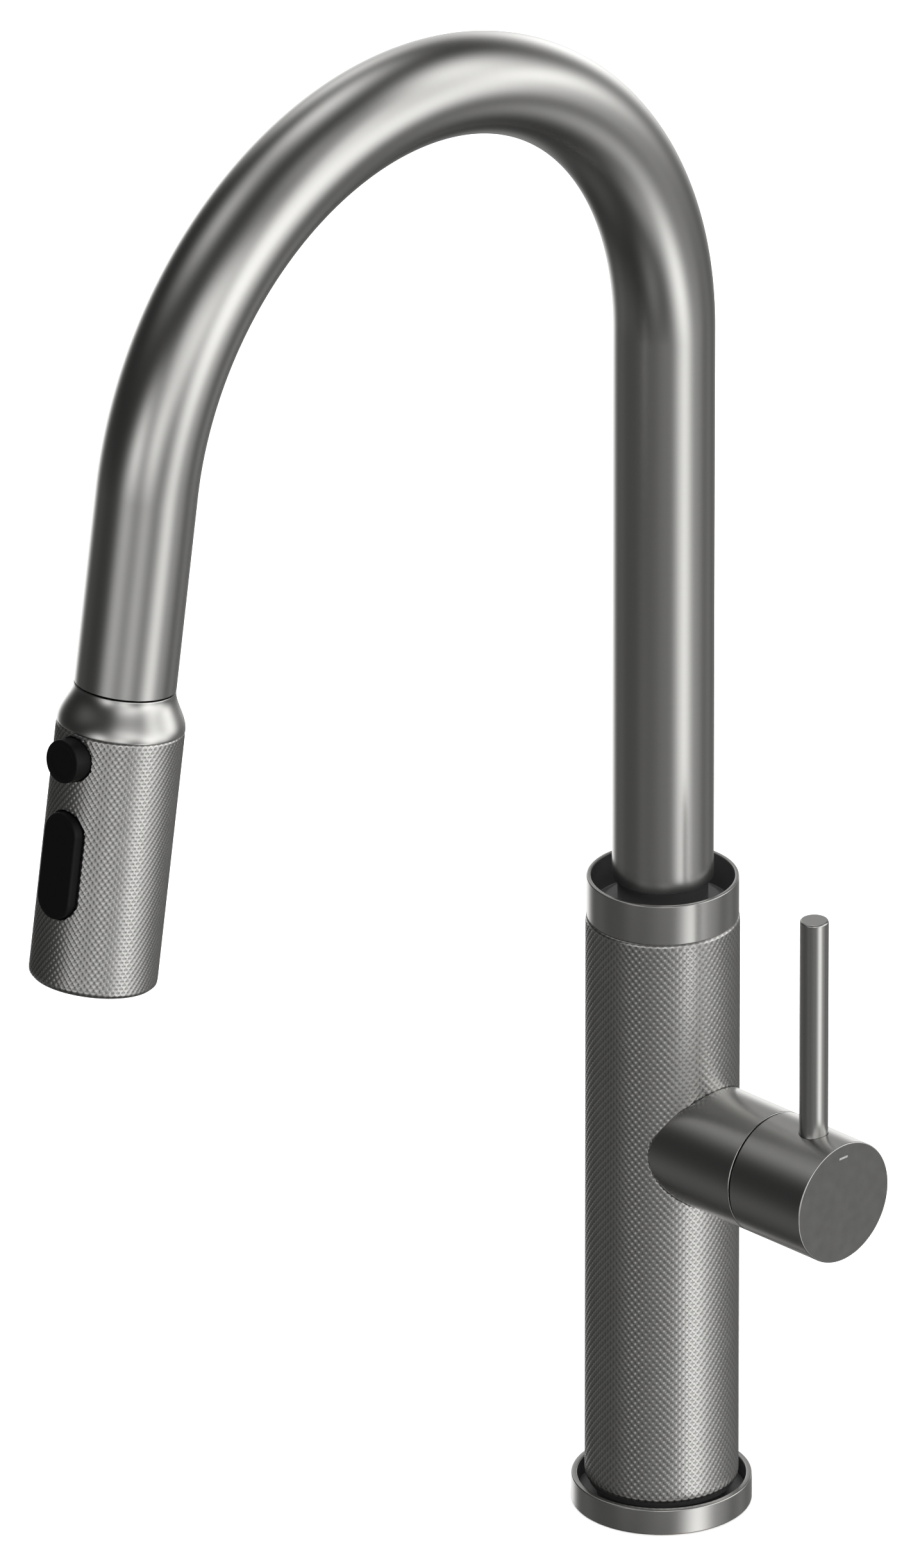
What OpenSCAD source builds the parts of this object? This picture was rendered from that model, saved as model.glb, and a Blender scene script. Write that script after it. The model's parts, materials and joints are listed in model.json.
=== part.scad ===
// Pull-down kitchen faucet: knurled column with a side lever, a swivelling
// high-arc spout and a spray head that pulls down out of it on a hose.
// Frame: +Z up, origin at the centre of the deck face. The spout reaches
// towards -Y and the lever's axis points along +X. Millimetres.

/* [Column] */
// Radius of the knurled column sleeve
sleeve_r = 21.3; // [19.5:0.1:27]
// Wall thickness of the column sleeve
sleeve_wall = 2.7; // [2:0.1:3.5]
// Height of the sleeve's lower edge above the deck
sleeve_z0 = 7.7; // [6:0.1:12]
// Length of the knurled sleeve
sleeve_len = 170.5; // [150:0.5:220]
// Height of the smooth collar on top of the sleeve
collar_h = 11.8; // [9:0.1:18]
// Radius of the top collar
collar_r = 21.0; // [20:0.1:27]
// Wall thickness of the top collar's rim
collar_wall = 1.2; // [0.8:0.1:2.4]

/* [Base] */
// Radius of the base ring
base_r = 25.0; // [24:0.1:32]
// Height of the base ring
base_h = 7.6; // [5:0.1:10]
// Wall thickness of the base ring's rim
base_wall = 1.7; // [1.2:0.1:2.5]
// Thickness of the base ring's floor
base_floor = 2.2; // [2:0.1:3.5]
// Radius of the middle of the deck gasket
gasket_mid_r = 21.2; // [20:0.1:23]
// Width of the deck gasket
gasket_w = 2.8; // [2:0.1:4]
// Height of the deck gasket
gasket_h = 1.2; // [0.8:0.1:1.5]

/* [Mounting] */
// Radius of the threaded mounting shank
shank_r = 16.5; // [16.3:0.1:17]
// Radius of the bore through the shank
shank_bore_r = 14.0; // [13.9:0.1:14.4]
// Length of the shank below the deck
shank_drop = 62; // [61:1:110]
// Length of the plain lead-in at the shank's lower end
lead_len = 6; // [5:0.5:8]
// Thickness of the worktop that the washers clamp
deck_t = 30; // [18:1:40]
// Radius of the rubber clamping washer
clamp_r = 27; // [25:0.5:32]
// Thickness of the rubber clamping washer
rubber_t = 3.0; // [2:0.1:5]
// Thickness of the steel clamping washer
steel_t = 2.0; // [1.5:0.1:4]
// Radius of the mounting nut
nut_r = 25.5; // [25:0.5:30]
// Height of the mounting nut
nut_h = 8; // [6:0.5:12]
// Gap between the steel washer and the mounting nut
nut_gap = 4; // [2:0.5:8]
// Radius of the circle that the jack screws lie on
jack_pitch_r = 21; // [20.5:0.1:22]
// Radius of a jack screw
jack_r = 2.5; // [2:0.1:3]
// Length of a jack screw under its head
jack_len = 16; // [14:1:25]

/* [Spout] */
// Outer radius of the spout tube
tube_r = 14.0; // [13.6:0.1:17]
// Wall thickness of the spout tube
tube_wall = 1.2; // [0.9:0.1:1.4]
// Length of the upright stretch of the tube
riser_len = 165.4; // [120:0.1:220]
// Radius of the tube's bend along its centre line
bend_r = 99.8; // [80:0.1:125]
// Angle that the tube bends through
bend_angle = 171.3; // [160:0.1:178]
// Length of the straight end of the tube
end_len = 55.3; // [48:0.1:90]
// Gap between the top collar's rim and the tube's lower end
tube_gap = 0.3; // [0.2:0.1:1]
// Radius of the swivelling neck
neck_r = 12.5; // [12:0.1:12.7]
// Radius of the bore through the neck
neck_bore_r = 9.0; // [8:0.1:9.4]
// Depth of the neck in the valve body
neck_depth = 29.8; // [26:0.1:34]
// Radial clearance of the swivelling neck in its bore
swivel_clear = 0.06; // [0.03:0.01:0.1]

/* [Handle] */
// Height of the handle's axis above the deck
handle_z = 113.8; // [90:0.1:125]
// Radius of the cartridge housing and the handle cap
handle_r = 17.5; // [17:0.1:19]
// Distance from the column's axis to the seam of the handle
seam_x = 43.0; // [42:0.1:60]
// Width of the seam between housing and cap
seam_w = 0.5; // [0.3:0.1:1]
// Length of the handle cap from the seam to its end face
cap_len = 27; // [24:0.1:40]
// Radius of the lever rod
rod_r = 4.0; // [3:0.1:5]
// Distance from the cap's end face to the rod's axis
rod_inset = 11.6; // [9:0.1:13]
// Height of the rod's top above the handle's axis
rod_rise = 81.9; // [50:0.1:120]
// Radius of the cartridge's stem
stem_r = 5.0; // [4:0.1:6]
// Radius of the cartridge's plastic shell
cartridge_r = 12.85; // [12.6:0.05:13.2]

/* [Spray head] */
// Radius of the spray head's knurled grip
head_r = 17.6; // [17:0.1:19.5]
// Length of the spray head below the seam
head_len = 84.7; // [82:0.1:110]
// Length of the smooth flare at the head's top
flare_len = 11.3; // [9:0.1:16]
// Wall thickness of the grip
grip_wall = 1.6; // [1.2:0.1:1.8]
// Gap between the spout tube and the spray head
head_gap = 0.3; // [0.2:0.1:0.8]
// Distance from the seam to the pause button's centre
pause_drop = 18.7; // [18.5:0.1:20]
// Radius of the pause button
pause_r = 6.0; // [5:0.1:6.6]
// Height of the pause button's face above the grip
pause_proud = 4.1; // [3:0.1:5]
// Travel of the pause button
pause_travel = 2.0; // [1:0.1:2.2]
// Distance from the seam to the mode button's centre
mode_drop = 49.1; // [47:0.1:52]
// Width of the mode button
mode_w = 12.1; // [11:0.1:13]
// Length of the mode button
mode_len = 30.3; // [24:0.1:31]
// Height of the mode button's face above the grip
mode_proud = 1.7; // [1:0.1:2.2]
// Gap around the buttons
button_gap = 0.4; // [0.3:0.1:0.6]

/* [Hose] */
// Outer radius of the spray hose
hose_r = 6.0; // [5.5:0.1:6.3]
// Offset of the hose from the column's axis in the shank
hose_off = 7.0; // [6.8:0.1:7.2]
// Radial room around the hose in the valve body
hose_room = 0.8; // [0.5:0.1:1]
// Radius of the thread bore in each water port
port_r = 4.5; // [4:0.1:4.7]
// Depth of the water ports
port_depth = 10; // [8:0.5:14]

/* [Hidden] */
$fn = 96;

// Clearances: eps only makes a cutter pass a face, fit is between fixed pieces
eps = 0.5;
fit = 0.1;
slip = 0.3;
face_gap = 0.05;
edge = 0.4;

// Column
sleeve_bore_r = sleeve_r - sleeve_wall;
sleeve_z1 = sleeve_z0 + sleeve_len;
collar_z1 = sleeve_z1 + collar_h;
core_r = sleeve_bore_r - fit;
core_foot_r = base_r - base_wall - 5.3;
shoulder_r = core_r + 1.7;
shoulder_t = 1.5;
spigot_r = 16.5;
spigot_h = 3.8;
collar_floor_t = 2.0;
socket_depth = 8;
socket_z1 = base_floor + socket_depth;
port_z1 = socket_z1 + port_depth;
// Water ports: hot, cold and mixed, spread in the shank's bore beside the hose
ports = [[2.6, 8.8], [2.6, -8.8], [9.2, 0]];
mixed_off = 2.2;
inlet_bore_r = 2.0;
outlet_bore_r = 1.9;
outlet_down = 6;
// Mounting
shank_end = -shank_drop;
rubber_z = -deck_t - rubber_t;
steel_z = rubber_z - steel_t;
nut_z1 = steel_z - nut_gap;
nut_z0 = nut_z1 - nut_h;
lead_r = shank_r - 0.6;
jack_head_h = 3.5;
// Swivel
neck_z1 = collar_z1 + tube_gap;
core_z1 = sleeve_z1 + spigot_h;
thrust_t = 2.0;
neck_bore_z0 = core_z1 - neck_depth - thrust_t;
neck_z0 = neck_bore_z0 + thrust_t;
neck_plug_len = 14;
swivel_r = neck_r + swivel_clear;
hose_chamber_r = neck_bore_r + 0.8;
clip_z = neck_z0 + 18;
clip_t = 1.2;
o_ring_zs = [neck_z0 + 6, neck_z0 + 12];
o_ring_minor = 0.74;
o_ring_groove = 2.2;
bearing_zs = [neck_z0 + 1.2, neck_z0 + 22.5];
bearing_h = 2.4;
bearing_t = 0.9;
// Spout path
tube_bore_r = tube_r - tube_wall;
bend_z = neck_z1 + riser_len;
tilt = 180 - bend_angle;
end_y = -bend_r + bend_r * cos(bend_angle);
end_z = bend_z + bend_r * sin(bend_angle);
seam_y = end_y - end_len * sin(tilt);
seam_z = end_z - end_len * cos(tilt);
// The straight end starts a little way inside the bend's wall, so that the two are one solid
joint_lap = 0.3;
joint_step = 0.05;
// Hose in the column
tail_top = shank_end - 2;
hose_bend_z0 = handle_z + handle_r - 7;
hose_bend_z1 = neck_z0 + 13;
hose_join_z = neck_z0 + 14;
hose_ring_zs = concat(
    [tail_top],
    [for (z = [0:12]) hose_bend_z0 + (hose_bend_z1 - hose_bend_z0) * z / 12],
    [hose_join_z]
);
hose_sides = 12;
tail_nut_h = 5;
tail_len = 13;
// Handle
housing_x0 = 9.5;
housing_bore_r = cartridge_r + 0.15;
disc_x0 = housing_x0 + 2.6;
disc_t = 2.9;
moving_x0 = disc_x0 + disc_t + face_gap;
moving_t = 3.5;
carrier_x0 = moving_x0 + moving_t + fit;
carrier_t = 2.8;
lid_x0 = housing_x0 + 21.5;
lid_t = 3.0;
disc_r = cartridge_r - 1.25;
shell_wall = 1.0;
nut_x0 = lid_x0 + lid_t + fit;
nut_t = 5.5;
cap_x0 = seam_x + seam_w / 2;
cap_x1 = seam_x + cap_len;
cap_wall = 2.2;
cap_end_t = 8;
boss_r = 10;
boss_x0 = cap_x0 + 1.8;
stem_x1 = boss_x0 + 8;
rod_x = cap_x1 - rod_inset;
rod_seat = 5;
grub_x = boss_x0 + 4;
grub_r = 2.0;
mark_size = [0.15, 3.2, 0.6];
mark_up = 13.6;
// Spray head, measured down from the seam
flare_steps = 14;
grip_bore_r = head_r - grip_wall;
bush_len = 16;
bush_r = tube_bore_r - fit;
spigot_head_r = 8.6;
spigot_head_up = 14;
way_neck_r = tube_r - 2.5;
way_r = grip_bore_r - 1.6;
way_bottom = 66;
inlet_r = 4.96;
plunger_r = 3.0;
inlet_depth = pause_drop - plunger_r - 0.5;
main_bore_r = 3.0;
tail_r = inlet_r - 0.06;
ferrule_r = 7.2;
ferrule_z0 = 16;
ferrule_len = 18;
hose_in_ferrule = 14;
clip_up = 8;
pause_flange_r = pause_r + 1.2;
pause_flange_t = 0.9;
pause_flange_y = sqrt(pow(grip_bore_r - 0.3, 2) - pow(pause_flange_r, 2));
pause_pocket_y = pause_flange_y - pause_flange_t - pause_travel - 0.4;
pause_spring_y = pause_pocket_y - 2.6;
plunger_tip_y = 4.5;
mode_back = head_r - 2.0;
pivot_back = head_r - 1.3;
pin_r = 1.0;
pin_len = 9.2;
lug_x0 = 2.9;
lug_t = 1.6;
lug_reach = head_r - 0.3;
spool_up = 8;
spool_gap = 1.1;
spool_r = 2.95;
plate_top = 70.3;
plate_face = head_len - 0.7;
plate_r = grip_bore_r - fit;
aerator_r = 6.0;
nozzle_r = 0.9;
nozzle_rings = [[9.6, 12], [12.9, 18]];

// A round tube standing on z0
module tube(r_out, r_in, z0, z1) {
    translate([0, 0, z0])
        difference() {
            cylinder(r = r_out, h = z1 - z0);
            translate([0, 0, -eps])
                cylinder(r = r_in, h = z1 - z0 + 2 * eps);
        }
}

// A solid round bar from z0 to z1
module bar(r, z0, z1) {
    translate([0, 0, z0])
        cylinder(r = r, h = z1 - z0);
}

// A round ring of round section
module o_ring(major, minor, z) {
    translate([0, 0, z])
        rotate_extrude()
            translate([major, 0])
                circle(r = minor, $fn = 32);
}

// A tube with small chamfers on its outer edges
module edged_tube(r_out, r_in, z0, z1, c) {
    rotate_extrude()
        polygon([
            [r_in, z0], [r_out - c, z0], [r_out, z0 + c],
            [r_out, z1 - c], [r_out - c, z1], [r_in, z1]
        ]);
}

// Places children along the handle's axis: their z is the distance from the column's axis
module on_handle() {
    translate([0, 0, handle_z])
        rotate([0, 90, 0])
            children();
}

// Places children on the spray head's axis: their -z points out of the spout
module on_head() {
    translate([0, seam_y, seam_z])
        rotate([-tilt, 0, 0])
            children();
}

// Places children on an axis that points out of the head's button side, at a drop below the seam
module on_button(drop) {
    on_head()
        translate([0, 0, -drop])
            rotate([90, 0, 0])
                children();
}

// Round section swept along the spout's centre line, from the neck to a stop above the seam
module along_spout(r_out, r_in, z0, stop) {
    tube_or_bar(r_out, r_in, z0, bend_z);
    translate([0, -bend_r, bend_z])
        rotate([90, 0, 90])
            rotate_extrude(angle = bend_angle, $fn = 180)
                translate([bend_r, 0])
                    difference() {
                        circle(r = r_out);
                        if (r_in > 0) circle(r = r_in);
                    }
    on_head()
        tube_or_bar(r_out - joint_step, r_in > 0 ? r_in + joint_step : 0, stop, end_len + joint_lap);
}

module tube_or_bar(r_out, r_in, z0, z1) {
    if (r_in > 0) tube(r_out, r_in, z0, z1);
    else bar(r_out, z0, z1);
}

// Column and base

module deck_gasket() color("#1d1d1e")
    tube(gasket_mid_r + gasket_w / 2 - fit, gasket_mid_r - gasket_w / 2 + fit, 0, gasket_h);

module base_ring() color("#7c7d7d")
    difference() {
        rotate_extrude()
            polygon([
                [shank_r + slip, 0], [base_r - edge, 0], [base_r, edge],
                [base_r, base_h - edge], [base_r - edge, base_h],
                [base_r - base_wall, base_h], [base_r - base_wall, base_floor],
                [shank_r + slip, base_floor]
            ]);
        tube(gasket_mid_r + gasket_w / 2, gasket_mid_r - gasket_w / 2, -eps, gasket_h);
    }

module valve_body() color("#b08d4a")
    difference() {
        union() {
            bar(core_foot_r, base_floor, sleeve_z0 - shoulder_t);
            bar(shoulder_r, sleeve_z0 - shoulder_t, sleeve_z0);
            bar(core_r, sleeve_z0, sleeve_z1 - 2);
            bar(spigot_r, sleeve_z1 - 2, core_z1);
        }
        bar(shank_r + fit, base_floor - eps, socket_z1);
        for (p = ports)
            translate([p.x, p.y, 0])
                bar(port_r, socket_z1 - eps, port_z1);
        for (p = [ports[0], ports[1]]) {
            translate([p.x, p.y, 0])
                bar(inlet_bore_r, port_z1 - eps, handle_z + inlet_bore_r);
            translate([p.x, p.y, handle_z])
                rotate([0, 90, 0])
                    cylinder(r = inlet_bore_r, h = housing_x0 - p.x + eps);
        }
        translate([ports[2].x - mixed_off, 0, 0])
            bar(outlet_bore_r, port_z1 - eps, handle_z - outlet_down);
        translate([ports[2].x - mixed_off, 0, handle_z - outlet_down])
            rotate([0, 90, 0])
                cylinder(r = outlet_bore_r, h = housing_x0 - ports[2].x + mixed_off + eps);
        translate([-hose_off, 0, 0])
            bar(hose_r + hose_room, socket_z1 - eps, neck_bore_z0 - 5);
        bar(hose_chamber_r, handle_z + handle_r, neck_bore_z0 + eps);
        rotate_extrude()
            polygon([
                [0, neck_bore_z0], [swivel_r, neck_bore_z0],
                [swivel_r, clip_z - slip], [swivel_r + 1.3, clip_z - slip],
                [swivel_r + 1.3, clip_z + clip_t + slip], [swivel_r, clip_z + clip_t + slip],
                [swivel_r, core_z1 + eps], [0, core_z1 + eps]
            ]);
        on_handle()
            bar(handle_r + fit, housing_x0, sleeve_r + eps);
    }

module body_sleeve() color("#77787a")
    difference() {
        edged_tube(sleeve_r, sleeve_bore_r, sleeve_z0, sleeve_z1, edge);
        on_handle()
            bar(handle_r + fit, 0, sleeve_r + eps);
    }

module top_collar() color("#808182")
    rotate_extrude()
        polygon([
            [spigot_r + fit, sleeve_z1 + face_gap], [collar_r, sleeve_z1 + face_gap],
            [collar_r, collar_z1 - edge], [collar_r - edge, collar_z1],
            [collar_r - collar_wall, collar_z1],
            [collar_r - collar_wall, sleeve_z1 + collar_floor_t],
            [spigot_r + fit, sleeve_z1 + collar_floor_t]
        ]);

// Mounting under the worktop

module mounting_shank() color("#b08d4a")
    rotate_extrude()
        polygon([
            [shank_bore_r, shank_end], [lead_r, shank_end],
            [lead_r, shank_end + lead_len], [shank_r, shank_end + lead_len],
            [shank_r, socket_z1 - face_gap], [shank_bore_r, socket_z1 - face_gap]
        ]);

module rubber_washer() color("#1d1d1e")
    tube(clamp_r, shank_r + slip, rubber_z, -deck_t);

module steel_washer() color("#a8a9ab")
    tube(clamp_r - 0.5, shank_r + slip, steel_z, rubber_z);

module jack_places() {
    for (k = [0:2])
        rotate(60 + 120 * k)
            translate([jack_pitch_r, 0, 0])
                children();
}

module mounting_nut() color("#b08d4a")
    difference() {
        edged_tube(nut_r, shank_r + fit, nut_z0, nut_z1, 0.8);
        jack_places()
            bar(jack_r + fit, nut_z0 - eps, nut_z1 + eps);
    }

module jack_screws() color("#a8a9ab")
    jack_places() {
        bar(jack_r, steel_z - jack_len, steel_z - face_gap);
        translate([0, 0, steel_z - jack_len - jack_head_h])
            cylinder(r = jack_r * 1.7, h = jack_head_h, $fn = 6);
    }

// Mixing cartridge

module cartridge_housing() color("#7c7d7d")
    on_handle()
        rotate_extrude()
            polygon([
                [housing_bore_r, housing_x0 + face_gap], [handle_r, housing_x0 + face_gap],
                [handle_r, seam_x - seam_w / 2 - edge], [handle_r - edge, seam_x - seam_w / 2],
                [housing_bore_r, seam_x - seam_w / 2]
            ]);

module cartridge_shell() color("#d8d6cf")
    on_handle() {
        tube(cartridge_r, cartridge_r - shell_wall, housing_x0 + 0.5, lid_x0);
        tube(cartridge_r, stem_r + 0.06, lid_x0, lid_x0 + lid_t);
    }

// The water ways through the cartridge's base and fixed disc
module port_holes(r, x0, x1) {
    for (y = [ports[0].y, ports[1].y])
        translate([0, y, 0])
            bar(r, x0, x1);
    translate([outlet_down, 0, 0])
        bar(r, x0, x1);
}

module cartridge_base() color("#d8d6cf")
    on_handle()
        difference() {
            bar(cartridge_r - shell_wall - fit, housing_x0 + 0.5, disc_x0 - face_gap);
            port_holes(inlet_bore_r, housing_x0, disc_x0 + eps);
        }

module port_seals() color("#1d1d1e")
    on_handle()
        difference() {
            port_holes(inlet_bore_r + 0.9, housing_x0 + face_gap, housing_x0 + 0.45);
            port_holes(inlet_bore_r, housing_x0 - eps, housing_x0 + 1);
        }

module fixed_disc() color("#eceae4")
    on_handle()
        difference() {
            bar(disc_r, disc_x0, disc_x0 + disc_t);
            port_holes(inlet_bore_r - 0.2, disc_x0 - eps, disc_x0 + disc_t + eps);
        }

module cartridge_nut() color("#b08d4a")
    on_handle()
        tube(housing_bore_r - fit, stem_r + 1.5, nut_x0, nut_x0 + nut_t);

// Hose in the column

// The hose eases over from its place in the shank to the column's axis
function eased(t) = t * t * (3 - 2 * t);
function clamped(t) = min(1, max(0, t));
function hose_x(z) = -hose_off * (1 - eased(clamped((z - hose_bend_z0) / (hose_bend_z1 - hose_bend_z0))));

module lower_hose() color("#3a3b3d")
    polyhedron(
        points = [
            for (z = hose_ring_zs)
                for (k = [0:hose_sides - 1])
                    [hose_x(z) + hose_r * cos(360 * k / hose_sides), hose_r * sin(360 * k / hose_sides), z]
        ],
        faces = concat(
            [[for (k = [0:hose_sides - 1]) k]],
            [[for (k = [0:hose_sides - 1]) len(hose_ring_zs) * hose_sides - 1 - k]],
            [
                for (i = [0:len(hose_ring_zs) - 2])
                    for (k = [0:hose_sides - 1])
                        [
                            i * hose_sides + k, (i + 1) * hose_sides + k,
                            (i + 1) * hose_sides + (k + 1) % hose_sides, i * hose_sides + (k + 1) % hose_sides
                        ]
            ]
        )
    );

module hose_tail() color("#b08d4a")
    translate([-hose_off, 0, 0])
        difference() {
            union() {
                bar(hose_r + 0.4, tail_top - tail_len, tail_top - face_gap);
                translate([0, 0, tail_top - tail_len])
                    cylinder(r = hose_r + 1.2, h = tail_nut_h, $fn = 6);
            }
            bar(port_r, tail_top - tail_len - eps, tail_top - 3);
        }

// Spout

module spout_tube() color("#808182")
    along_spout(tube_r, tube_bore_r, neck_z1, 0);

module spout_neck() color("#4a4b4d")
    difference() {
        union() {
            bar(neck_r, neck_z0, neck_z1);
            bar(tube_bore_r - fit, neck_z1, neck_z1 + neck_plug_len);
        }
        bar(neck_bore_r, neck_z0 - eps, neck_z1 + neck_plug_len + eps);
        for (z = o_ring_zs)
            tube(neck_r + eps, neck_r - 2 * o_ring_minor - 0.02, z - o_ring_groove / 2, z + o_ring_groove / 2);
        for (z = bearing_zs)
            tube(neck_r + eps, neck_r - bearing_t, z - face_gap, z + bearing_h + face_gap);
        tube(neck_r + eps, neck_r - 1, clip_z - face_gap, clip_z + clip_t + face_gap);
    }

module neck_o_rings() color("#1d1d1e")
    for (z = o_ring_zs)
        o_ring(neck_r - o_ring_minor - 0.01, o_ring_minor, z);

module bearing_rings() color("#e4e2da")
    for (z = bearing_zs)
        tube(neck_r + 0.03, neck_r - bearing_t + face_gap, z, z + bearing_h);

module thrust_ring() color("#e4e2da")
    tube(neck_r, hose_chamber_r + fit, neck_bore_z0 + face_gap, neck_z0 - face_gap);

module spout_clip() color("#a8a9ab")
    tube(neck_r + 1.1, neck_r - 0.95, clip_z, clip_z + clip_t);

module docking_bush() color("#2b2c2e")
    on_head()
        tube(bush_r, spigot_head_r + slip, face_gap, bush_len);

module spray_hose() color("#3a3b3d")
    along_spout(hose_r, 0, hose_join_z, ferrule_z0 + ferrule_len - hose_in_ferrule);

// Hose end

module hose_ferrule() color("#a8a9ab")
    on_head()
        difference() {
            edged_tube(ferrule_r, 1, ferrule_z0, ferrule_z0 + ferrule_len, edge);
            bar(hose_r + fit, ferrule_z0 + ferrule_len - hose_in_ferrule - fit, ferrule_z0 + ferrule_len + eps);
        }

module hose_stem() color("#b08d4a")
    on_head()
        rotate_extrude()
            polygon([
                [2, -6], [tail_r, -6],
                [tail_r, -3.2], [tail_r - 1, -3.2], [tail_r - 1, -1.8], [tail_r, -1.8],
                [tail_r, clip_up - 0.6], [tail_r - 0.8, clip_up - 0.6],
                [tail_r - 0.8, clip_up + 0.6], [tail_r, clip_up + 0.6],
                [tail_r, spigot_head_up + slip], [ferrule_r, spigot_head_up + slip],
                [ferrule_r, ferrule_z0 - face_gap], [2, ferrule_z0 - face_gap]
            ]);

module inlet_o_ring() color("#1d1d1e")
    on_head()
        o_ring(tail_r - 0.5, 0.47, -2.5);

// Spray head

// Outer radius of the flare at a share t of its length: hollow at the tube, round at the shoulder
function flare_r(t) = tube_r + (head_r - tube_r) * eased(t);

module head_collar() color("#8a8b8c")
    on_head()
        rotate_extrude()
            polygon(concat(
                [for (i = [0:flare_steps]) [
                    flare_r(i / flare_steps), -head_gap - (flare_len - head_gap) * i / flare_steps
                ]],
                [
                    [grip_bore_r - 0.8, -flare_len], [grip_bore_r - 0.8, -flare_len + 2],
                    [way_neck_r + slip, -flare_len + 5], [way_neck_r + slip, -head_gap]
                ]
            ));

module head_grip() color("#8f9091")
    difference() {
        on_head()
            rotate_extrude()
                polygon([
                    [grip_bore_r, -head_len], [head_r - 1, -head_len], [head_r - 0.3, -head_len + 0.3],
                    [head_r, -head_len + 1], [head_r, -flare_len - face_gap],
                    [grip_bore_r, -flare_len - face_gap]
                ]);
        on_button(pause_drop)
            bar(pause_r + button_gap / 2, way_r, head_r + eps);
        on_button(mode_drop)
            translate([0, 0, way_r])
                linear_extrude(head_r)
                    slot_shape(mode_w / 2 + button_gap, mode_len + 2 * button_gap);
    }

// A rounded slot standing along y: its half width and its whole length
module slot_shape(half, long) {
    translate([0, long / 2 - half])
        circle(r = half);
    translate([0, half - long / 2])
        circle(r = half);
    square([2 * half, long - 2 * half], center = true);
}

module waterway() color("#3f4144")
    difference() {
        union() {
            on_head()
                rotate_extrude()
                    polygon([
                        [0, -way_bottom], [way_r, -way_bottom], [way_r, -flare_len - 0.2],
                        [way_neck_r, -flare_len - 0.2], [way_neck_r, -2],
                        [spigot_head_r, -2], [spigot_head_r, spigot_head_up], [0, spigot_head_up]
                    ]);
            for (side = [-1, 1])
                on_button(mode_drop)
                    translate([side * (lug_x0 + lug_t / 2), 0, (lug_reach + way_r - 2) / 2])
                        cube([lug_t, 4.4, lug_reach - way_r + 2], center = true);
        }
        on_head() {
            rotate_extrude()
                polygon([
                    [0, -inlet_depth], [inlet_r, -inlet_depth],
                    [inlet_r, clip_up - 0.7], [6.6, clip_up - 0.7],
                    [6.6, clip_up + 0.7], [inlet_r, clip_up + 0.7],
                    [inlet_r, spigot_head_up + eps], [0, spigot_head_up + eps]
                ]);
            bar(main_bore_r, -way_bottom - eps, -inlet_depth + eps);
        }
        on_button(pause_drop) {
            bar(pause_flange_r + slip, pause_pocket_y, head_r);
            bar(plunger_r + 2, pause_spring_y, head_r);
            bar(plunger_r + 0.05, 2, head_r);
        }
        on_button(mode_drop - spool_up)
            bar(spool_r + 0.05, -10, head_r);
        on_button(mode_drop)
            translate([0, 0, pivot_back])
                rotate([0, 90, 0])
                    bar(pin_r + 0.05, -head_r / 2, head_r / 2);
    }

module stem_clip() color("#a8a9ab")
    on_head()
        tube(6.5, tail_r - 0.7, clip_up - 0.5, clip_up + 0.5);

module check_valve() color("#e4e2da")
    on_head()
        tube(inlet_r - fit, 2.2, -inlet_depth + face_gap, -inlet_depth + 8);

module pause_spring() color("#a8a9ab")
    on_button(pause_drop)
        tube(plunger_r + 1.7, plunger_r + 0.4, pause_spring_y + face_gap, pause_flange_y - pause_flange_t - face_gap);

module diffuser() color("#e4e2da")
    on_head()
        difference() {
            bar(plate_r - 0.3, -plate_top + fit, -way_bottom - fit);
            for (k = [0:11])
                rotate(30 * k)
                    translate([plate_r * 0.66, 0, 0])
                        bar(1.2, -plate_top - eps, -way_bottom + eps);
        }

module nozzle_places() {
    for (ring = nozzle_rings)
        for (k = [0:ring[1] - 1])
            rotate(360 * k / ring[1])
                translate([ring[0], 0, 0])
                    children();
}

module nozzle_plate() color("#54565a")
    on_head()
        difference() {
            rotate_extrude()
                polygon([
                    [aerator_r + fit, -plate_face], [plate_r, -plate_face],
                    [plate_r, -plate_face + 6.6], [plate_r - 1.1, -plate_face + 6.6],
                    [plate_r - 1.1, -plate_face + 8], [plate_r, -plate_face + 8],
                    [plate_r, -plate_top], [plate_r - 1.8, -plate_top],
                    [plate_r - 1.8, -plate_face + 2.5], [aerator_r + 1.6, -plate_face + 2.5],
                    [aerator_r + 1.6, -plate_top], [aerator_r + fit, -plate_top]
                ]);
            nozzle_places()
                bar(nozzle_r, -plate_face - eps, -plate_face + 3);
        }

module spray_nozzles() color("#2b2c2e")
    on_head()
        nozzle_places()
            difference() {
                bar(nozzle_r - face_gap, -head_len + 0.1, -plate_face + 2.5);
                bar(0.4, -head_len - eps, -plate_face + 3);
            }

module aerator() color("#54565a")
    on_head()
        tube(aerator_r, 4.6, -plate_face - 0.3, -plate_top - fit);

module plate_seal() color("#1d1d1e")
    on_head()
        o_ring(plate_r - 0.52, 0.48, -plate_face + 7.3);

// Pause button

module pause_button() color("#0e0e0f")
    on_button(pause_drop) {
        rotate_extrude()
            polygon([
                [0, pause_flange_y - pause_flange_t], [pause_flange_r, pause_flange_y - pause_flange_t],
                [pause_flange_r, pause_flange_y], [pause_r, pause_flange_y],
                [pause_r, head_r + pause_proud - 0.5], [pause_r - 0.5, head_r + pause_proud],
                [0, head_r + pause_proud]
            ]);
    }

module pause_plunger() color("#a8a9ab")
    on_button(pause_drop)
        bar(plunger_r, plunger_tip_y, pause_flange_y - pause_flange_t);

// Mode rocker and the diverter that it moves

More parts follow.
